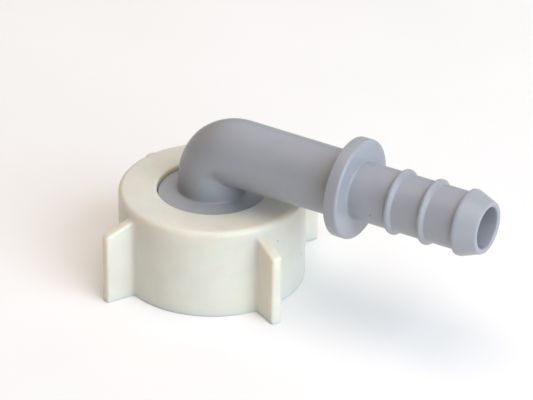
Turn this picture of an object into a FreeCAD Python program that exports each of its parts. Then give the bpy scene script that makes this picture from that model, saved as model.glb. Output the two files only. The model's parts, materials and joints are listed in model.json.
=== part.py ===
"""Elbow hose connector: a winged swivel nut, the washer that it clamps and a one-piece elbow hose tail.

Millimetres. The origin is on the nut's axis in the plane of its open mouth, +Z goes up that axis and
+X goes along the hose tail. Outlines are half sections, written as (distance from the axis, place
along the axis) or, where a corner is rounded, with the rounding's radius as a third number.
"""

import FreeCAD
import Part
import math
import os

# Nut
NUT_R = 19.5
NUT_HEIGHT = 19.8
NUT_HOLE_R = 11.55
NUT_TOP_ROUND = 1.15
NUT_EDGE_ROUND = 0.4
LEDGE_THICKNESS = 2.8
UNDERCUT_R = 16.75
MOUTH_CHAMFER = 0.45

# Female G 1 pipe thread: 11 turns to the inch, 55 degree flanks, roots cut flat, and the moulded
# crest near the upper limit of the standard's minor diameter, 30.29 to 30.93
THREAD_PITCH = 25.4 / 11
THREAD_MAJOR_R = 33.249 / 2
THREAD_MINOR_R = 30.9 / 2
THREAD_ROOT_FLAT = THREAD_PITCH / 6
THREAD_HALF_ANGLE = math.radians(27.5)
THREAD_TOP = 11.5
THREAD_START = 90.0

# Wings on the nut
WING_COUNT = 4
WING_TURN = -27.0
WING_R = 25.8
WING_THICKNESS = 2.3
WING_OUTER_HEIGHT = 15.4
WING_INNER_HEIGHT = 17.7
WING_EDGE_ROUND = 0.6
WING_CORNER_ROUND = 0.8
WING_ROOT_ROUND = 0.8

# Washer
WASHER_R = 16.0
WASHER_HOLE_R = 10.0
WASHER_THICKNESS = 2.5
WASHER_EDGE_ROUND = 0.2
SEAT_GAP = 0.05

# Elbow: the flange held in the nut, then the neck, the bend and the leg
FLANGE_R = 14.9
FLANGE_THICKNESS = 2.0
FLANGE_EDGE_ROUND = 0.2
BOSS_R = 11.27
BOSS_RIM_TOP = 18.75
BOSS_TOP = 19.7
NECK_R = 7.05
NECK_ROUND = 0.5
BEND_R = 7.25
LEG_AXIS_Z = 29.65
LEG_END_R = 6.9
COLLAR_START = 32.4
COLLAR_END = 35.4
COLLAR_R = 10.45
COLLAR_ROUND = 0.3

# Hose tail, for a soft hose of 13 mm bore
TAIL_R = 6.05
RIDGE_R = 6.82
RIDGE_HALF_WIDTH = 0.8
RIDGE_PLACES = (44.6, 52.1)
BARB_START = 59.1
BARB_R = 6.9
BARB_BACK = 0.4
BARB_LAND = 0.6
TIP_END = 64.25
TIP_R = 5.35
TIP_ROUND = 0.25

# Waterway through the elbow
INLET_R = 5.0
BEND_BORE_R = 4.6
OUTLET_R = 4.3

AXIS_X = FreeCAD.Vector(1, 0, 0)
AXIS_Y = FreeCAD.Vector(0, 1, 0)
AXIS_Z = FreeCAD.Vector(0, 0, 1)
ORIGIN = FreeCAD.Vector(0, 0, 0)


def rounded_outline(corners):
    """A closed wire in the XZ plane through (x, z) corners, with a tangent arc at each (x, z, radius)."""
    points = [FreeCAD.Vector(corner[0], 0, corner[1]) for corner in corners]
    edges = []
    stretches = []
    for index, corner in enumerate(corners):
        here = points[index]
        if len(corner) < 3:
            stretches.append((here, here))
            continue
        back = (points[index - 1] - here).normalize()
        ahead = (points[(index + 1) % len(points)] - here).normalize()
        half = back.getAngle(ahead) / 2
        reach = corner[2] / math.tan(half)
        middle = (back + ahead).normalize() * (corner[2] / math.sin(half) - corner[2])
        start = here + back * reach
        end = here + ahead * reach
        edges.append(Part.Arc(start, here + middle, end).toShape())
        stretches.append((start, end))
    for index, (start, _) in enumerate(stretches):
        before = stretches[index - 1][1]
        if before.distanceToPoint(start) > 1e-6:
            edges.append(Part.makeLine(before, start))
    return Part.Wire(Part.__sortEdges__(edges))


def turned(corners):
    """A solid turned about Z from a half section."""
    return Part.Face(rounded_outline(corners)).revolve(ORIGIN, AXIS_Z, 360)


def laid_along_leg(solid):
    """Turns a solid made about Z so that its axis is the leg's, with its +Z end towards the hose."""
    solid.rotate(ORIGIN, AXIS_Y, 90)
    solid.translate(FreeCAD.Vector(0, 0, LEG_AXIS_Z))
    return solid


def bend(radius):
    """A quarter turn of round bar from the neck's axis to the leg's."""
    start = FreeCAD.Vector(0, 0, LEG_AXIS_Z - BEND_R)
    centre = start + AXIS_X * BEND_R
    disc = Part.Face(Part.Wire(Part.makeCircle(radius, start, AXIS_Z)))
    return disc.revolve(centre, AXIS_Y, 90)


def wing():
    """One wing along +X: a plate with a sloping top and rounded free edges."""
    root = NUT_R - 1.5
    slope = (WING_INNER_HEIGHT - WING_OUTER_HEIGHT) / (WING_R - NUT_R)
    root_height = WING_INNER_HEIGHT + slope * (NUT_R - root)
    side = rounded_outline(
        [(root, 0), (WING_R, 0), (WING_R, WING_OUTER_HEIGHT, WING_CORNER_ROUND), (root, root_height)]
    )
    side.translate(AXIS_Y * (-WING_THICKNESS / 2))
    plate = Part.Face(side).extrude(AXIS_Y * WING_THICKNESS)
    free = [edge for edge in plate.Edges if is_free_wing_edge(edge, root)]
    return plate.makeFillet(WING_EDGE_ROUND, free)


def is_free_wing_edge(edge, root):
    """Is this one of the long edges of the wing's outer end or of its top?"""
    box = edge.BoundBox
    return box.YLength < 1e-6 and box.ZMax > 1e-6 and box.XMax > root + 1e-6


def groove_turn():
    """One turn of the helical groove that cuts the thread, starting on +X at height 0."""
    inner_r = THREAD_MINOR_R - 0.1
    root_half = THREAD_ROOT_FLAT / 2
    open_half = root_half + (THREAD_MAJOR_R - inner_r) * math.tan(THREAD_HALF_ANGLE)
    section = rounded_outline(
        [
            (inner_r, -open_half),
            (THREAD_MAJOR_R, -root_half),
            (THREAD_MAJOR_R, root_half),
            (inner_r, open_half),
        ]
    )
    helix = Part.makeHelix(THREAD_PITCH, THREAD_PITCH, THREAD_MINOR_R)
    return Part.Wire(helix.Edges).makePipeShell([section], True, True)


def thread_groove():
    """The whole groove turn by turn, from below the mouth into the undercut."""
    overrun = 1.5
    count = math.ceil((THREAD_TOP + 2 * overrun) / THREAD_PITCH)
    turns = []
    for number in range(count):
        turn = groove_turn()
        turn.rotate(ORIGIN, AXIS_Z, THREAD_START)
        turn.translate(AXIS_Z * (number * THREAD_PITCH - overrun))
        turns.append(turn)
    return turns


def nut_bore():
    """The space inside the nut before the thread is cut."""
    below = -1.0
    ledge = NUT_HEIGHT - LEDGE_THICKNESS
    mouth_r = THREAD_MINOR_R + MOUTH_CHAMFER
    section = [
        (0, below),
        (mouth_r, below),
        (mouth_r, 0),
        (THREAD_MINOR_R, MOUTH_CHAMFER),
        (THREAD_MINOR_R, THREAD_TOP),
        (UNDERCUT_R, THREAD_TOP),
        (UNDERCUT_R, ledge),
        (NUT_HOLE_R, ledge),
        (NUT_HOLE_R, NUT_HEIGHT - NUT_EDGE_ROUND),
        (NUT_HOLE_R + NUT_EDGE_ROUND, NUT_HEIGHT),
        (NUT_HOLE_R + NUT_EDGE_ROUND, NUT_HEIGHT + 1),
        (0, NUT_HEIGHT + 1),
    ]
    return turned(section)


def is_wing_root(edge):
    """Is this an upright edge where a wing's side meets the nut's wall?"""
    box = edge.BoundBox
    middle = edge.valueAt((edge.FirstParameter + edge.LastParameter) / 2)
    on_wall = abs(math.hypot(middle.x, middle.y) - NUT_R) < 1e-3
    upright = box.XLength < 1e-3 and box.YLength < 1e-3
    seam = edge.isClosed() or box.ZMax > WING_INNER_HEIGHT + 0.1
    return on_wall and upright and not seam


def make_wing_nut():
    """The swivel nut: a cap with four wings, threaded inside, with a hole through its top."""
    nut = turned(
        [
            (0, 0),
            (NUT_R, 0),
            (NUT_R, NUT_HEIGHT, NUT_TOP_ROUND),
            (0, NUT_HEIGHT),
        ]
    )
    wings = []
    for count in range(WING_COUNT):
        blade = wing()
        blade.rotate(ORIGIN, AXIS_Z, WING_TURN + count * 360 / WING_COUNT)
        wings.append(blade)
    nut = nut.fuse(wings).removeSplitter()
    roots = [edge for edge in nut.Edges if is_wing_root(edge)]
    nut = nut.makeFillet(WING_ROOT_ROUND, roots)
    return nut.cut(nut_bore()).cut(thread_groove())


def make_sealing_washer():
    """The flat rubber ring that rests on the thread's end, under the elbow's flange."""
    low = THREAD_TOP + SEAT_GAP
    high = low + WASHER_THICKNESS
    ring = turned(
        [
            (WASHER_HOLE_R, low),
            (WASHER_R, low, WASHER_EDGE_ROUND),
            (WASHER_R, high, WASHER_EDGE_ROUND),
            (WASHER_HOLE_R, high),
        ]
    )
    return ring


def elbow_base():
    """Flange, boss with a slightly conical top, and upright neck."""
    flange_low = THREAD_TOP + WASHER_THICKNESS + 2 * SEAT_GAP
    flange_high = flange_low + FLANGE_THICKNESS
    return turned(
        [
            (0, flange_low),
            (FLANGE_R, flange_low, FLANGE_EDGE_ROUND),
            (FLANGE_R, flange_high, FLANGE_EDGE_ROUND),
            (BOSS_R, flange_high),
            (BOSS_R, BOSS_RIM_TOP),
            (NECK_R, BOSS_TOP, NECK_ROUND),
            (NECK_R, LEG_AXIS_Z - BEND_R),
            (0, LEG_AXIS_Z - BEND_R),
        ]
    )


def leg_and_collar():
    """The level leg, which narrows a little towards the collar, and the collar."""
    return laid_along_leg(
        turned(
            [
                (0, BEND_R),
                (NECK_R, BEND_R),
                (LEG_END_R, COLLAR_START),
                (COLLAR_R, COLLAR_START, COLLAR_ROUND),
                (COLLAR_R, COLLAR_END, COLLAR_ROUND),
                (0, COLLAR_END),
            ]
        )
    )


def hose_tail():
    """The round stub with the barb at its tip."""
    land_start = BARB_START + BARB_BACK
    return laid_along_leg(
        turned(
            [
                (0, COLLAR_END - 1),
                (TAIL_R, COLLAR_END - 1),
                (TAIL_R, BARB_START),
                (BARB_R, land_start),
                (BARB_R, land_start + BARB_LAND),
                (TIP_R, TIP_END, TIP_ROUND),
                (0, TIP_END),
            ]
        )
    )


def ridge(place):
    """A rounded ring around the hose tail."""
    rise = RIDGE_R - TAIL_R
    low = FreeCAD.Vector(TAIL_R, 0, place - RIDGE_HALF_WIDTH)
    crest = FreeCAD.Vector(TAIL_R + rise, 0, place)
    high = FreeCAD.Vector(TAIL_R, 0, place + RIDGE_HALF_WIDTH)
    inside = [high, high - AXIS_X, low - AXIS_X, low]
    edges = [Part.Arc(low, crest, high).toShape(), *Part.makePolygon(inside).Edges]
    return laid_along_leg(Part.Face(Part.Wire(edges)).revolve(ORIGIN, AXIS_Z, 360))


def waterway():
    """The hollow through the elbow: an upright bore, a bent bore and a long level bore."""
    over = 1.0
    flange_low = THREAD_TOP + WASHER_THICKNESS + 2 * SEAT_GAP
    bend_low = LEG_AXIS_Z - BEND_R
    inlet = turned(
        [
            (0, flange_low - over),
            (INLET_R, flange_low - over),
            (INLET_R, flange_low),
            (BEND_BORE_R, bend_low),
            (0, bend_low),
        ]
    )
    outlet = laid_along_leg(
        turned(
            [
                (0, BEND_R),
                (BEND_BORE_R, BEND_R),
                (OUTLET_R, TIP_END),
                (OUTLET_R, TIP_END + over),
                (0, TIP_END + over),
            ]
        )
    )
    return inlet.fuse([bend(BEND_BORE_R), outlet])


def make_elbow_hose_tail():
    """The elbow, moulded in one piece from flange to hose tail."""
    ridges = [ridge(place) for place in RIDGE_PLACES]
    body = elbow_base().fuse([bend(NECK_R), leg_and_collar(), hose_tail(), *ridges])
    return body.removeSplitter().cut(waterway())


def main():
    os.makedirs("parts", exist_ok=True)
    pieces = {
        "wing_nut": make_wing_nut(),
        "sealing_washer": make_sealing_washer(),
        "elbow_hose_tail": make_elbow_hose_tail(),
    }
    for name, shape in pieces.items():
        solid = shape.Solids[0]
        if len(shape.Solids) != 1 or not solid.isValid():
            raise ValueError(f"{name} is not one valid solid")
        solid.exportStep(f"parts/{name}.step")
        print(name, round(solid.Volume, 1), "mm3", len(solid.Faces), "faces")


main()
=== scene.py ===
"""The looks of an elbow hose connector: a winged swivel nut, an elbow hose tail and a rubber washer.

Each piece is one closed skin of four-sided faces, worked out in millimetres from its outline and then
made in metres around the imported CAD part.
"""

import json
import math

import bpy
import numpy as np
from mathutils import Matrix, Vector


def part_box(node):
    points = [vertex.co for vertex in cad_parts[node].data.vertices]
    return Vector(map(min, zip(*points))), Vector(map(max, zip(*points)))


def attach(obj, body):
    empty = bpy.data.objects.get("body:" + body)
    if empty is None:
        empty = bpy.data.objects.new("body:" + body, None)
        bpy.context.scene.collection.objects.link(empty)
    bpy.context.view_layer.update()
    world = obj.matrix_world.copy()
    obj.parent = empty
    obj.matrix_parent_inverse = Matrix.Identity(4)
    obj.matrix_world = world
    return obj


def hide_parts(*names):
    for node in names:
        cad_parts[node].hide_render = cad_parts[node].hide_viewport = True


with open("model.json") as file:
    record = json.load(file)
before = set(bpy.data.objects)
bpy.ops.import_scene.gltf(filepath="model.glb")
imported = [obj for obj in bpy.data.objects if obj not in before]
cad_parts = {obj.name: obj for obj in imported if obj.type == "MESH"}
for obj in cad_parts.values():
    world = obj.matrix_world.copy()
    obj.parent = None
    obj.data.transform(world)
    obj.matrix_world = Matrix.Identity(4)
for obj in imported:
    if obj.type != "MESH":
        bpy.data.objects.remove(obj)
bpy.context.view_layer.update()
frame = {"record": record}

MM = 0.001

# --- Sizes, in millimetres -------------------------------------------------------------------------


def box_mm(node):
    """A CAD node's lowest and highest corners in millimetres."""
    return [np.array(corner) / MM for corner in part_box(node)]


MOUNTS = {mount["name"]: mount for mount in frame["record"]["mounts"]}
NUT_LOW, NUT_HIGH = box_mm("wing_nut")
WASHER_LOW, WASHER_HIGH = box_mm("sealing_washer")
ELBOW_LOW, ELBOW_HIGH = box_mm("elbow_hose_tail")

# Nut
NUT_R = 19.5
NUT_HEIGHT = NUT_HIGH[2]
NUT_TOP_ROUND = 1.15
NUT_HOLE_R = 11.55
NUT_EDGE_ROUND = 0.4
LEDGE_THICKNESS = 2.8
LEDGE_Z = NUT_HEIGHT - LEDGE_THICKNESS
UNDERCUT_R = 16.75
SHELF_R = UNDERCUT_R - 0.1
MOUTH_CHAMFER = 0.45
RIM_ROUND = 0.25

# Thread: G 1, right hand
THREAD_PITCH = 25.4 / 11
THREAD_MAJOR_R = 33.249 / 2
THREAD_MINOR_R = MOUNTS["thread"]["dims"]["r_mm"]
THREAD_TOP = 11.5
THREAD_ROOT_HALF = THREAD_PITCH / 12
THREAD_SLOPE = math.tan(math.radians(27.5))
THREAD_FOOT = -1.5
THREAD_TURN = math.radians(90)
THREAD_SOFTNESS = 0.1

# Wings
WING_COUNT = 4
WING_TURN = math.radians(-27)
WING_R = 25.8
WING_HALF = 1.15
WING_OUTER_HEIGHT = 15.4
WING_INNER_HEIGHT = 17.7
WING_EDGE_ROUND = 0.6
WING_ROOT_ROUND = 0.8
WING_SLOPE_LOW = WING_OUTER_HEIGHT - 1.2

# Elbow
LEG_Z = MOUNTS["hose_tail"]["pos_m"][2] / MM
BARB_R = MOUNTS["hose_tail"]["dims"]["r_mm"]
TIP_X = ELBOW_HIGH[0]
COLLAR_R = ELBOW_HIGH[2] - LEG_Z
FLANGE_R = ELBOW_HIGH[1]
FLANGE_LOW = ELBOW_LOW[2]
FLANGE_THICKNESS = 2.0
FLANGE_HIGH = FLANGE_LOW + FLANGE_THICKNESS
BOSS_R = 11.27
BOSS_RIM_TOP = 18.75
BOSS_TOP = 19.7
NECK_R = 7.05
NECK_ROUND = 0.5
BEND_R = 7.25
CREASE_ROUND = 0.5
CREASE_REACH = 0.7
LEG_END_R = 6.9
COLLAR_START = 32.4
COLLAR_END = 35.4
COLLAR_ROUND = 0.6
TAIL_R = 6.05
RIDGE_R = 6.82
RIDGE_HALF_WIDTH = 0.8
RIDGE_TOP_HALF_WIDTH = 0.35
RIDGE_PLACES = (44.6, 52.1)
BARB_START = 59.1
BARB_BACK = 0.4
BARB_LAND = 0.6
TIP_R = 5.35
INLET_R = 5.0
BEND_BORE_R = 4.6
OUTSIDE_R = BEND_BORE_R + 0.4
OUTLET_R = 4.3
SEAM_HEIGHT = 0.045
SEAM_HALF_WIDTH = 0.13
SEAM_TIP_GAP = 0.5

# Washer
WASHER_R = WASHER_HIGH[1]
WASHER_HOLE_R = 10.0
WASHER_LINE_HEIGHT = 0.06
WASHER_LINE_HALF_WIDTH = 0.1

# How the nut's skin is found: steps inwards from just outside it
SEARCH_START_R = WING_R + 1.0
SEARCH_STEPS = 600
SEARCH_SHARE = 0.98

# The photographer's view: degrees and millimetres
CAMERA_TARGET = Vector((13.83, -1.16, 21.30)) * MM
CAMERA_AZIMUTH = 30.85
CAMERA_ELEVATION = 29.76
CAMERA_ROLL = 0.67
CAMERA_DISTANCE = 728.3 * MM
CAMERA_LENS = 239.85

# Floor: just under the nut's rim, so that no two faces share a plane
FLOOR_HALF = 1.5
FLOOR_Z = -0.02 * MM

# Lamps: name, azimuth, elevation, size in metres, watts, colour
LAMP_TARGET = Vector((0.015, 0, 0.018))
LAMP_DISTANCE = 0.9
LAMPS = (
    ("window", 78, 30, 0.9, 8.4, (0.63, 0.80, 1.0)),
    ("key", 55, 47, 0.9, 3.3, (1.0, 0.84, 0.72)),
    ("low", 72, 12, 0.4, 0.9, (0.60, 0.80, 1.0)),
    ("top", 0, 89, 0.7, 3.9, (0.98, 0.86, 0.82)),
    ("behind", -150, 35, 0.7, 1.5, (0.72, 0.84, 1.0)),
    ("left", -105, 35, 0.7, 0.8, (1.0, 0.80, 0.40)),
    ("back", 175, 18, 0.7, 1.2, (0.95, 1.0, 0.90)),
)

# --- Meshes from grids -----------------------------------------------------------------------------


def arc_points(start, corner, end, radius, turn):
    """The points of a rounded corner, from its start to its end."""
    out = (start - corner) + (end - corner)
    reach = np.linalg.norm(start - corner)
    to_centre = math.hypot(radius, reach)
    centre = corner + out / np.linalg.norm(out) * to_centre
    count = max(3, math.ceil(turn / math.radians(15)))
    shares = np.linspace(0, 1, count + 1)
    first = start - centre
    last = end - centre
    sweep = math.acos(np.clip(first @ last / radius**2, -1, 1))
    weights = [(math.sin((1 - s) * sweep), math.sin(s * sweep)) for s in shares]
    return [centre + (first * a + last * b) / math.sin(sweep) for a, b in weights]


def rounded_path(corners, step, closed=True):
    """Points along an outline of (x, y) or (x, y, rounding) corners, no further apart than step."""
    points = [np.array(corner[:2], float) for corner in corners]
    stretches = []
    for index, corner in enumerate(corners):
        here = points[index]
        if len(corner) < 3:
            stretches.append([here])
            continue
        back = points[index - 1] - here
        ahead = points[(index + 1) % len(points)] - here
        back = back / np.linalg.norm(back)
        ahead = ahead / np.linalg.norm(ahead)
        half = math.acos(np.clip(back @ ahead, -1, 1)) / 2
        reach = corner[2] / math.tan(half)
        start, end = here + back * reach, here + ahead * reach
        stretches.append(arc_points(start, here, end, corner[2], math.pi - 2 * half))
    path = []
    for index, stretch in enumerate(stretches):
        path += stretch
        if not closed and index == len(stretches) - 1:
            break
        following = stretches[(index + 1) % len(stretches)][0]
        gap = following - stretch[-1]
        count = math.ceil(np.linalg.norm(gap) / step)
        path += [stretch[-1] + gap * share for share in np.arange(1, count) / count]
    return np.array(path)


def grid_object(name, grid):
    """A closed skin from a grid of points in millimetres that joins up along both its sides."""
    rows, columns = grid.shape[:2]
    row, column = np.meshgrid(np.arange(rows), np.arange(columns), indexing="ij")
    below, beside = (row + 1) % rows, (column + 1) % columns
    corners = ((row, column), (row, beside), (below, beside), (below, column))
    faces = np.stack([r * columns + c for r, c in corners], axis=-1).reshape(-1, 4)
    vertices = grid.reshape(-1, 3) * MM
    if enclosed_volume(vertices, faces) < 0:
        faces = faces[:, ::-1]
    mesh = bpy.data.meshes.new(name)
    mesh.from_pydata(vertices.tolist(), [], faces.tolist())
    mesh.validate()
    mesh.shade_smooth()
    piece = bpy.data.objects.new(name, mesh)
    bpy.context.collection.objects.link(piece)
    return piece


def enclosed_volume(vertices, faces):
    """The volume inside a closed skin, negative where its faces point inwards."""
    a, b, c, d = (vertices[faces[:, corner]] for corner in range(4))
    halves = np.einsum("ij,ij->i", a, np.cross(b, c)) + np.einsum("ij,ij->i", a, np.cross(c, d))
    return halves.sum() / 6


def turned_grid(outline, angles):
    """The grid of an outline of (distance from the axis, height) turned about Z."""
    r, z = outline[:, 0], outline[:, 1]
    x = np.outer(r, np.cos(angles))
    y = np.outer(r, np.sin(angles))
    return np.stack([x, y, np.repeat(z[:, None], len(angles), axis=1)], axis=-1)


# --- The nut ---------------------------------------------------------------------------------------


def half_wing_outline():
    """Half the nut's outline at mid height: (points, outward normals), from a wing's middle to 45 degrees."""
    end_corner = np.array([WING_R - WING_EDGE_ROUND, WING_HALF - WING_EDGE_ROUND])
    root_y = WING_HALF + WING_ROOT_ROUND
    root_x = math.sqrt((NUT_R + WING_ROOT_ROUND) ** 2 - root_y**2)
    root_centre = np.array([root_x, root_y])
    root_angle = math.atan2(root_y, root_x)
    points, normals = [], []

    def add(point, normal):
        points.append(np.array(point, float))
        normals.append(np.array(normal, float))

    for y in np.linspace(0, end_corner[1], 4)[:-1]:
        add((WING_R, y), (1, 0))
    for turn in np.radians(np.linspace(0, 90, 7)):
        normal = np.array([math.cos(turn), math.sin(turn)])
        add(end_corner + normal * WING_EDGE_ROUND, normal)
    for x in np.linspace(end_corner[0], root_x, 13)[1:-1]:
        add((x, WING_HALF), (0, 1))
    for turn in np.linspace(math.radians(-90), root_angle - math.pi, 7):
        inward = np.array([math.cos(turn), math.sin(turn)])
        add(root_centre + inward * WING_ROOT_ROUND, -inward)
    for turn in np.linspace(root_angle, math.pi / WING_COUNT, 20)[1:]:
        normal = np.array([math.cos(turn), math.sin(turn)])
        add(normal * NUT_R, normal)
    return np.array(points), np.array(normals)


def body_distance(r, z):
    """Distance from the plain round body of the nut, which has a rounded top edge."""
    across = r - (NUT_R - NUT_TOP_ROUND)
    up = z - (NUT_HEIGHT - NUT_TOP_ROUND)
    outside = np.hypot(np.maximum(across, 0), np.maximum(up, 0))
    return outside + np.minimum(np.maximum(across, up), 0) - NUT_TOP_ROUND


def wing_distance(x, y, z):
    """Distance from the wing that lies along +X, with all its free edges rounded."""
    slope = (WING_INNER_HEIGHT - WING_OUTER_HEIGHT) / (WING_R - NUT_R)
    lean = math.hypot(1, slope)
    height = WING_OUTER_HEIGHT + (WING_R - x) * slope
    over_top = (z - height) / lean + WING_EDGE_ROUND
    past_end = x - WING_R + WING_EDGE_ROUND
    beside = np.abs(y) - WING_HALF + WING_EDGE_ROUND
    share = slope / lean
    both = np.maximum(over_top, 0) ** 2 + np.maximum(past_end, 0) ** 2
    both -= 2 * share * np.maximum(over_top, 0) * np.maximum(past_end, 0)
    corner = np.sqrt(np.maximum(both, 0) / (1 - share**2))
    clear = (over_top > 0) & (past_end > 0)
    flat = np.where(clear, corner, np.maximum(over_top, past_end))
    outside = np.hypot(np.maximum(flat, 0), np.maximum(beside, 0))
    return outside + np.minimum(np.maximum(flat, beside), 0) - WING_EDGE_ROUND


def nut_distance(x, y, z):
    """Distance from body and wing, joined with a round fillet."""
    body = body_distance(np.hypot(x, y), z)
    wing = wing_distance(x, y, z)
    fillet = WING_ROOT_ROUND
    both = np.hypot(np.maximum(fillet - body, 0), np.maximum(fillet - wing, 0))
    return np.maximum(fillet, np.minimum(body, wing)) - both


def skin_radius(height, turns):
    """How far out the nut's skin is at a height, for each turn from a wing's middle."""
    r = np.full(len(turns), SEARCH_START_R)
    for _ in range(SEARCH_STEPS):
        r -= SEARCH_SHARE * nut_distance(r * np.cos(turns), r * np.sin(turns), np.full(len(turns), height))
    return r


def thread_radius(angles, height):
    """The radius of the threaded wall at a height, for each angle about the nut's axis."""
    start = THREAD_FOOT + THREAD_PITCH * (angles - THREAD_TURN) / (2 * math.pi)
    phase = (height - start) / THREAD_PITCH
    away = np.abs(phase - np.round(phase)) * THREAD_PITCH
    flank = THREAD_MAJOR_R - (away - THREAD_ROOT_HALF) / THREAD_SLOPE
    capped = THREAD_MAJOR_R - soft_ramp(THREAD_MAJOR_R - flank)
    return THREAD_MINOR_R + soft_ramp(capped - THREAD_MINOR_R)


def soft_ramp(value):
    """Zero below 0 and the value above it, with a small round between."""
    return (value + np.sqrt(value**2 + THREAD_SOFTNESS**2) - THREAD_SOFTNESS) / 2


def nut_columns():
    """The half outline's points, normals and turns, and each column's wing side, outline index and angle."""
    points, normals = half_wing_outline()
    turns = np.arctan2(points[:, 1], points[:, 0])
    last = len(turns) - 1
    one = [(-1, index) for index in range(last, 0, -1)] + [(1, index) for index in range(last)]
    columns = []
    for count in range(WING_COUNT):
        middle = WING_TURN + count * 2 * math.pi / WING_COUNT
        columns += [(side, index, middle + side * turns[index]) for side, index in one]
    side, index, angles = (np.array(part) for part in zip(*columns))
    return points, normals, turns, side, index, angles


def ring(angles, radii, height):
    """One row of the nut's grid at a height, with one radius or a radius for each angle."""
    radii = np.broadcast_to(radii, angles.shape)
    heights = np.broadcast_to(height, angles.shape)
    return np.stack([radii * np.cos(angles), radii * np.sin(angles), heights], axis=-1)


def rim_rows(points, normals, turns, side, index, angles):
    """Rows up the rounded lower edge of the nut and its wings."""
    rows = []
    for tilt in np.radians(np.linspace(0, 90, 5)[:-1]):
        inset = RIM_ROUND * (1 - math.sin(tilt))
        moved = points - normals * inset
        turn = np.arctan2(moved[:, 1], moved[:, 0])[index] * side
        radius = np.hypot(moved[:, 0], moved[:, 1])[index]
        around = angles - side * turns[index] + turn
        rows.append(ring(around, radius, RIM_ROUND * (1 - math.cos(tilt))))
    return rows


def side_rows(turns, index, angles):
    """Rows up the side and the wings, and over the rounded top edge."""
    plain = np.linspace(RIM_ROUND, WING_SLOPE_LOW, 13)
    sloped = np.linspace(WING_SLOPE_LOW, NUT_HEIGHT - NUT_TOP_ROUND, 22)[1:]
    rows = []
    for height in (*plain, *sloped):
        rows.append(ring(angles, skin_radius(height, turns)[index], height))
    for tilt in np.radians(np.linspace(0, 90, 9)[1:]):
        round_r = NUT_R - NUT_TOP_ROUND + NUT_TOP_ROUND * math.cos(tilt)
        height = NUT_HEIGHT - NUT_TOP_ROUND + NUT_TOP_ROUND * math.sin(tilt)
        rows.append(ring(angles, round_r, height))
    return rows


def hole_rows(angles):
    """Rows across the top, down the hole, under the ledge, down the undercut and in to the thread."""
    inside = [
        (NUT_R - NUT_TOP_ROUND - 0.6, NUT_HEIGHT),
        (NUT_HOLE_R, NUT_HEIGHT, NUT_EDGE_ROUND),
        (NUT_HOLE_R, LEDGE_Z, 0.15),
        (UNDERCUT_R, LEDGE_Z, 0.3),
        (UNDERCUT_R, THREAD_TOP, 0.1),
        (SHELF_R, THREAD_TOP),
    ]
    rows = []
    for radius, height in rounded_path(inside, 1.0, closed=False):
        rows.append(ring(angles, radius, height))
    top_r = thread_radius(angles, THREAD_TOP)
    for share in (0.3, 0.65, 1.0):
        rows.append(ring(angles, top_r + (SHELF_R - top_r) * (1 - share), THREAD_TOP))
    return rows


def thread_rows(angles):
    """Rows down the thread and out over its chamfered mouth."""
    rows = []
    for height in np.linspace(THREAD_TOP, MOUTH_CHAMFER, 84)[1:]:
        rows.append(ring(angles, thread_radius(angles, height), height))
    for height in np.linspace(MOUTH_CHAMFER, 0, 4)[1:]:
        chamfer_r = THREAD_MINOR_R + MOUTH_CHAMFER - height
        rows.append(ring(angles, np.maximum(thread_radius(angles, height), chamfer_r), height))
    return rows


def nut_grid():
    """The grid of the nut's skin: up the outside, over the top, down the hole and thread, across the rim."""
    points, normals, turns, side, index, angles = nut_columns()
    rows = rim_rows(points, normals, turns, side, index, angles)
    rows += side_rows(turns, index, angles)
    rows += hole_rows(angles)
    rows += thread_rows(angles)
    inner, rim = rows[-1], rows[0]
    for share in (0.03, 0.25, 0.5, 0.75, 0.97):
        rows.append(inner + (rim - inner) * share)
    return np.array(rows)


def make_nut():
    return grid_object("nut_shell", nut_grid())


# --- The elbow -------------------------------------------------------------------------------------

BEND_LOW = LEG_Z - BEND_R
BEND_LENGTH = BEND_R * math.pi / 2
BEND_PLACES = np.linspace(BEND_LOW, BEND_LOW + BEND_LENGTH, 33)


def along(x):
    """How far along the elbow's centre line a place on the leg is, counted as height up the neck."""
    return BEND_LOW + BEND_LENGTH + x - BEND_R


def ridge_corners(place):
    """Corners of one rounded ring on the hose tail."""
    return [
        (along(place - RIDGE_HALF_WIDTH), TAIL_R, 0.3),
        (along(place - RIDGE_TOP_HALF_WIDTH), RIDGE_R, 0.4),
        (along(place + RIDGE_TOP_HALF_WIDTH), RIDGE_R, 0.4),
        (along(place + RIDGE_HALF_WIDTH), TAIL_R, 0.3),
    ]


def elbow_outline():
    """The elbow's half section as (distance along the centre line, radius), out along the skin and back."""
    land = BARB_START + BARB_BACK
    corners = [
        (FLANGE_LOW, INLET_R, 0.3),
        (FLANGE_LOW, FLANGE_R, 0.2),
        (FLANGE_HIGH, FLANGE_R, 0.3),
        (FLANGE_HIGH, BOSS_R, 0.15),
        (BOSS_RIM_TOP, BOSS_R, 0.3),
        (BOSS_TOP, NECK_R, NECK_ROUND),
    ]
    corners += [(place, NECK_R) for place in BEND_PLACES]
    corners += [
        (along(COLLAR_START), LEG_END_R, 0.25),
        (along(COLLAR_START), COLLAR_R, 0.3),
        (along(COLLAR_END), COLLAR_R, COLLAR_ROUND),
        (along(COLLAR_END), TAIL_R, 0.35),
    ]
    for place in RIDGE_PLACES:
        corners += ridge_corners(place)
    corners += [
        (along(BARB_START), TAIL_R, 0.2),
        (along(land), BARB_R, 0.15),
        (along(land + BARB_LAND), BARB_R, 0.5),
        (along(TIP_X), TIP_R, 0.3),
        (along(TIP_X), OUTLET_R, 0.4),
    ]
    corners += [(place, BEND_BORE_R) for place in BEND_PLACES[::-1]]
    return rounded_path(corners, 0.9)


def elbow_angles():
    """Angles around the elbow, closer together beside the two mould seams."""
    plain = np.linspace(0, math.pi, 53)[1:-1]
    close = np.array([0.012, 0.024, 0.04])
    half = np.sort(np.concatenate([[0.0], close, plain, math.pi - close]))
    return np.concatenate([half, half + math.pi])


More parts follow.
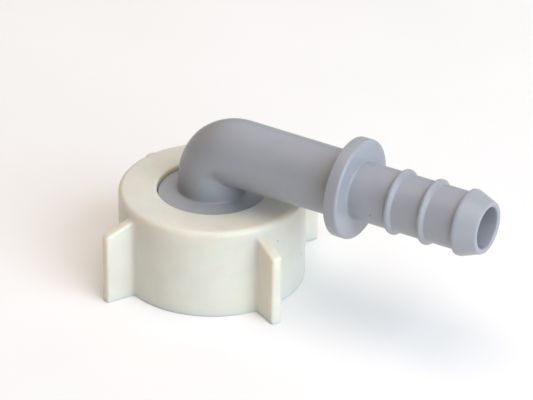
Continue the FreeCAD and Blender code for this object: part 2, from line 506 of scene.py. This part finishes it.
def seam_rise(radius, angles, outside):
    """The small raised line where the two halves of the mould met, on the outside only."""
    away = np.abs(np.sin(angles)) * radius
    return SEAM_HEIGHT * np.exp(-((away / SEAM_HALF_WIDTH) ** 2)) * outside


def seam_share(distance, radius):
    """Where along the elbow the seam shows: on the neck, bend, leg and tail, but not on the collar."""
    on_pipe = BOSS_TOP + NECK_ROUND < distance < along(TIP_X) - SEAM_TIP_GAP
    on_skin = OUTSIDE_R < radius < COLLAR_R - COLLAR_ROUND
    return 1.0 if on_pipe and on_skin else 0.0


def bend_rounding(across, radius):
    """The radius that each line along the elbow turns the corner with: a round back and a creased crook."""
    even = BEND_R - across
    share = np.clip(1 - across / radius / CREASE_REACH, 0, 1)
    share = share * share * (3 - 2 * share)
    creased = np.minimum(even, CREASE_ROUND)
    return creased + (even - creased) * (share if radius > OUTSIDE_R else 1.0)


def bend_ring(distance, radius, across):
    """X and Z of each line along the elbow at a place in the bend."""
    rounding = bend_rounding(across, radius)
    rise = BEND_R - across - rounding
    arc = rounding * math.pi / 2
    travelled = (distance - BEND_LOW) / BEND_LENGTH * (2 * rise + arc)
    turn = np.clip((travelled - rise) / rounding, 0, math.pi / 2)
    level = np.maximum(travelled - rise - arc, 0)
    x = across + rounding * (1 - np.cos(turn)) + level
    z = BEND_LOW + np.minimum(travelled, rise) + rounding * np.sin(turn)
    return x, z


def elbow_grid():
    """The elbow's outline turned about its centre line, which goes up the neck, round and along the leg."""
    angles = elbow_angles()
    rows = []
    for distance, radius in elbow_outline():
        radii = radius + seam_rise(radius, angles, seam_share(distance, radius))
        across = radii * np.cos(angles)
        beside = radii * np.sin(angles)
        if distance < BEND_LOW:
            x, z = across, np.full(len(angles), distance)
        elif distance > BEND_LOW + BEND_LENGTH:
            x, z = np.full(len(angles), BEND_R + distance - BEND_LOW - BEND_LENGTH), LEG_Z - across
        else:
            x, z = bend_ring(distance, radius, across)
        rows.append(np.stack([x, beside, z], axis=-1))
    return np.array(rows)


def make_elbow():
    return grid_object("elbow_moulding", elbow_grid())


# --- The washer ------------------------------------------------------------------------------------


def make_washer():
    """A flat rubber ring with a thin moulding line around its edge."""
    middle = (WASHER_LOW[2] + WASHER_HIGH[2]) / 2
    edge = WASHER_R - WASHER_LINE_HEIGHT
    corners = [
        (WASHER_HOLE_R, WASHER_LOW[2], 0.15),
        (edge, WASHER_LOW[2], 0.3),
        (edge, middle - WASHER_LINE_HALF_WIDTH),
        (WASHER_R, middle),
        (edge, middle + WASHER_LINE_HALF_WIDTH),
        (edge, WASHER_HIGH[2], 0.3),
        (WASHER_HOLE_R, WASHER_HIGH[2], 0.15),
    ]
    angles = np.linspace(0, 2 * math.pi, 160, endpoint=False)
    return grid_object("washer_ring", turned_grid(rounded_path(corners, 0.6), angles))


# --- Materials -------------------------------------------------------------------------------------


def add_node(material, kind, **settings):
    """A node of that kind, with its settings and, by name, its inputs' values."""
    node = material.node_tree.nodes.new(kind)
    for name, value in settings.items():
        if name in node.inputs:
            node.inputs[name].default_value = value
        else:
            setattr(node, name, value)
    return node


def noise(material, coordinates, size_mm, detail=2.0):
    """A soft noise whose blotches are about that size."""
    node = add_node(material, "ShaderNodeTexNoise", Scale=1 / (size_mm * MM), Detail=detail)
    material.node_tree.links.new(coordinates, node.inputs["Vector"])
    return node.outputs["Fac"]


def ramp(material, factor, stops):
    """A colour ramp over (place, colour) stops."""
    node = add_node(material, "ShaderNodeValToRGB")
    elements = node.color_ramp.elements
    while len(elements) < len(stops):
        elements.new(0.5)
    for element, (place, colour) in zip(elements, stops):
        element.position = place
        element.color = (*colour, 1.0)
    material.node_tree.links.new(factor, node.inputs["Fac"])
    return node.outputs["Color"]


def grey(value):
    return (value, value, value)


def multiplied(material, colour, other):
    """One colour times another."""
    node = add_node(material, "ShaderNodeMix", data_type="RGBA", blend_type="MULTIPLY")
    node.inputs[0].default_value = 1.0
    material.node_tree.links.new(colour, node.inputs[6])
    material.node_tree.links.new(other, node.inputs[7])
    return node.outputs[2]


def specks(material, coordinates, spacing_mm, size_mm, share):
    """Sparse specks as a factor: 1 between them and less in them."""
    links = material.node_tree.links
    cells = add_node(material, "ShaderNodeTexVoronoi", Scale=1 / (spacing_mm * MM))
    links.new(coordinates, cells.inputs["Vector"])
    pick = add_node(material, "ShaderNodeSeparateColor")
    links.new(cells.outputs["Color"], pick.inputs["Color"])
    chosen = add_node(material, "ShaderNodeMath", operation="LESS_THAN")
    links.new(pick.outputs["Red"], chosen.inputs[0])
    chosen.inputs[1].default_value = share
    near = add_node(material, "ShaderNodeMapRange")
    near.inputs["From Min"].default_value = size_mm / spacing_mm
    near.inputs["From Max"].default_value = 0.4 * size_mm / spacing_mm
    links.new(cells.outputs["Distance"], near.inputs["Value"])
    both = add_node(material, "ShaderNodeMath", operation="MULTIPLY")
    links.new(near.outputs["Result"], both.inputs[0])
    links.new(chosen.outputs["Value"], both.inputs[1])
    return both.outputs["Value"]


def fine_bump(material, shader, heights):
    """Joins several (factor, height in millimetres) layers into the shader's normal."""
    links = material.node_tree.links
    normal = None
    for factor, height in heights:
        bump = add_node(material, "ShaderNodeBump", Strength=1.0, Distance=height * MM)
        links.new(factor, bump.inputs["Height"])
        if normal is not None:
            links.new(normal, bump.inputs["Normal"])
        normal = bump.outputs["Normal"]
    links.new(normal, shader.inputs["Normal"])


def new_material(name):
    """An empty node material: (material, its shader, its object coordinates)."""
    material = bpy.data.materials.new(name)
    material.use_nodes = True
    shader = material.node_tree.nodes["Principled BSDF"]
    coordinates = add_node(material, "ShaderNodeTexCoord").outputs["Object"]
    return material, shader, coordinates


def moulded_plastic(name, colour, roughness, glow, specked):
    """Moulded plastic: faint blotches, fine grain, a soft uneven gloss and a few specks."""
    material, shader, coordinates = new_material(name)
    links = material.node_tree.links
    broad = noise(material, coordinates, 14.0)
    cloudy = noise(material, coordinates, 3.5, 3.0)
    grain = noise(material, coordinates, 0.28, 2.0)
    tint = ramp(
        material,
        broad,
        [(0.3, [c * 0.965 for c in colour]), (0.7, [min(c * 1.03, 1.0) for c in colour])],
    )
    mottle = ramp(material, cloudy, [(0.35, grey(0.97)), (0.65, grey(1.0))])
    tone = multiplied(material, tint, mottle)
    spot = specks(material, coordinates, 4.5, 0.3, specked)
    dark = ramp(material, spot, [(0.0, grey(1.0)), (1.0, (0.58, 0.52, 0.45))])
    links.new(multiplied(material, tone, dark), shader.inputs["Base Color"])
    gloss = ramp(
        material, cloudy, [(0.3, grey(roughness - 0.07)), (0.7, grey(roughness + 0.07))]
    )
    links.new(gloss, shader.inputs["Roughness"])
    shader.inputs["IOR"].default_value = 1.49
    shader.inputs["Subsurface Weight"].default_value = glow
    shader.inputs["Subsurface Radius"].default_value = (1.0, 0.62, 0.35)
    shader.inputs["Subsurface Scale"].default_value = 3.5 * MM
    fine_bump(material, shader, [(cloudy, 0.03), (grain, 0.012)])
    return material


def rubber(name):
    """Black rubber with a dull, slightly dusty skin."""
    material, shader, coordinates = new_material(name)
    links = material.node_tree.links
    dust = noise(material, coordinates, 1.6, 4.0)
    grain = noise(material, coordinates, 0.2, 2.0)
    colour = ramp(material, dust, [(0.35, (0.018, 0.018, 0.019)), (0.75, (0.05, 0.049, 0.047))])
    links.new(colour, shader.inputs["Base Color"])
    gloss = ramp(material, dust, [(0.3, grey(0.55)), (0.7, grey(0.75))])
    links.new(gloss, shader.inputs["Roughness"])
    fine_bump(material, shader, [(dust, 0.03), (grain, 0.015)])
    return material


def floor_material():
    """A plain pale floor with the faintest unevenness."""
    material, shader, coordinates = new_material("floor_paint")
    tone = noise(material, coordinates, 40.0)
    colour = ramp(material, tone, [(0.3, (0.93, 0.92, 0.895)), (0.7, (0.95, 0.94, 0.915))])
    material.node_tree.links.new(colour, shader.inputs["Base Color"])
    shader.inputs["Roughness"].default_value = 0.9
    return material


# --- Scene -----------------------------------------------------------------------------------------


def dress(piece, material, body, node):
    """Gives a piece its material and joins it to the frame in place of its CAD node."""
    piece.data.materials.append(material)
    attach(piece, body)
    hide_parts(node)


def make_floor():
    mesh = bpy.data.meshes.new("floor")
    sides = ((-1, -1), (1, -1), (1, 1), (-1, 1))
    corners = [(x * FLOOR_HALF, y * FLOOR_HALF, FLOOR_Z) for x, y in sides]
    mesh.from_pydata(corners, [], [(0, 1, 2, 3)])
    floor = bpy.data.objects.new("floor", mesh)
    bpy.context.collection.objects.link(floor)
    floor.data.materials.append(floor_material())


def direction(azimuth, elevation):
    """From the object towards a viewer, in degrees; azimuth 0 looks along +Y and 90 along -X."""
    az, el = math.radians(azimuth), math.radians(elevation)
    return Vector((math.sin(az) * math.cos(el), -math.cos(az) * math.cos(el), math.sin(el)))


def facing(target, place, roll=0.0):
    """A camera's or lamp's matrix at a place, looking at the target."""
    back = (place - target).normalized()
    right = Vector((0, 0, 1)).cross(back).normalized()
    up = back.cross(right)
    tilt = math.radians(roll)
    level = math.cos(tilt) * right + math.sin(tilt) * up
    upright = math.cos(tilt) * up - math.sin(tilt) * right
    turn = Matrix((level, upright, back)).transposed().to_4x4()
    return Matrix.Translation(place) @ turn


def make_camera():
    """The photographer's view: from the right and above, with a long lens."""
    place = CAMERA_TARGET + direction(CAMERA_AZIMUTH, CAMERA_ELEVATION) * CAMERA_DISTANCE
    data = bpy.data.cameras.new("camera")
    data.sensor_width = 36.0
    data.lens = CAMERA_LENS
    data.clip_end = 10.0
    camera = bpy.data.objects.new("camera", data)
    bpy.context.collection.objects.link(camera)
    camera.matrix_world = facing(CAMERA_TARGET, place, roll=CAMERA_ROLL)
    bpy.context.scene.camera = camera


def make_lamp(name, azimuth, elevation, size, power, colour):
    """A square softbox that faces the object."""
    data = bpy.data.lights.new(name, "AREA")
    data.shape = "SQUARE"
    data.size = size
    data.energy = power
    data.color = colour
    lamp = bpy.data.objects.new(name, data)
    bpy.context.collection.objects.link(lamp)
    place = LAMP_TARGET + direction(azimuth, elevation) * LAMP_DISTANCE
    lamp.matrix_world = facing(LAMP_TARGET, place)


def make_light():
    """Plain soft studio light: a cool window on the right, and weaker warm and cool lamps around it."""
    for lamp in LAMPS:
        make_lamp(*lamp)
    world = bpy.data.worlds.new("studio")
    world.use_nodes = True
    background = world.node_tree.nodes["Background"]
    background.inputs["Color"].default_value = (1.0, 0.88, 0.70, 1.0)
    background.inputs["Strength"].default_value = 0.05
    bpy.context.scene.world = world
    bpy.context.scene.view_settings.view_transform = "Standard"


def main():
    cream = moulded_plastic("cream_plastic", (0.72, 0.705, 0.61), 0.40, 0.85, 0.7)
    blue_grey = moulded_plastic("blue_grey_plastic", (0.345, 0.357, 0.380), 0.36, 0.10, 0.3)
    dress(make_nut(), cream, "nut", "wing_nut")
    dress(make_elbow(), blue_grey, "elbow", "elbow_hose_tail")
    dress(make_washer(), rubber("black_rubber"), "washer", "sealing_washer")
    make_floor()
    make_camera()
    make_light()


main()
